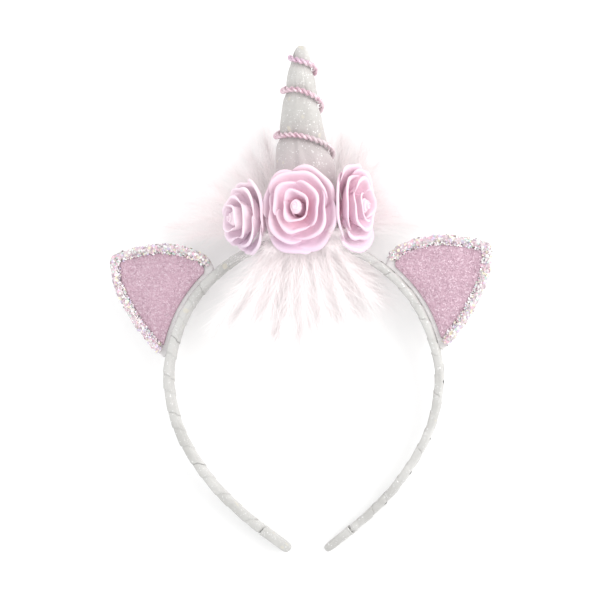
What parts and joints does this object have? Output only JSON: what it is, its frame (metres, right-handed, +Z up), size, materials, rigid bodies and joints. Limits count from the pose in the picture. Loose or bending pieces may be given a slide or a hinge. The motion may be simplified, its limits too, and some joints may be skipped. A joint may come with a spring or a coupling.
{
  "type": "unicorn horn headband",
  "caption": "Cloth-wrapped hoop headband with a stuffed horn wound with cord, three cloth roses, a ring of down and cat ears with glitter panels, lying on its back.",
  "frame": {"origin": "middle of the footprint, on the surface that the headband lies on", "axes": "+X to the right as seen from the headband's front, +Y along the horn from the hoop's open ends to the horn's tip, +Z up, out of the headband's front"},
  "size_m": [0.1776, 0.232, 0.0525],
  "materials": {
    "wrap_cloth": "white cloth tape with a fine glitter, wound round the hoop",
    "ear_cloth": "plain white cloth",
    "pink_glitter": "pink glitter cloth",
    "sequin_trim": "clear and iridescent chunky sequins",
    "horn_cloth": "white glitter cloth, stuffed",
    "twisted_cord": "pink metallic twisted cord",
    "rose_satin": "pale pink satin",
    "blush_down": "soft blush white down"
  },
  "bodies": {
    "root": {"headband": "wrap_cloth", "band_tip_left": "wrap_cloth", "band_tip_right": "wrap_cloth", "ear_back_left": "ear_cloth", "ear_back_right": "ear_cloth", "ear_panel_left": "pink_glitter", "ear_panel_right": "pink_glitter", "ear_trim_left": "sequin_trim", "ear_trim_right": "sequin_trim", "horn": "horn_cloth", "horn_cord": "twisted_cord", "rose_left": "rose_satin", "rose_centre": "rose_satin", "rose_right": "rose_satin", "fur": "blush_down"}
  },
  "joints": []
}
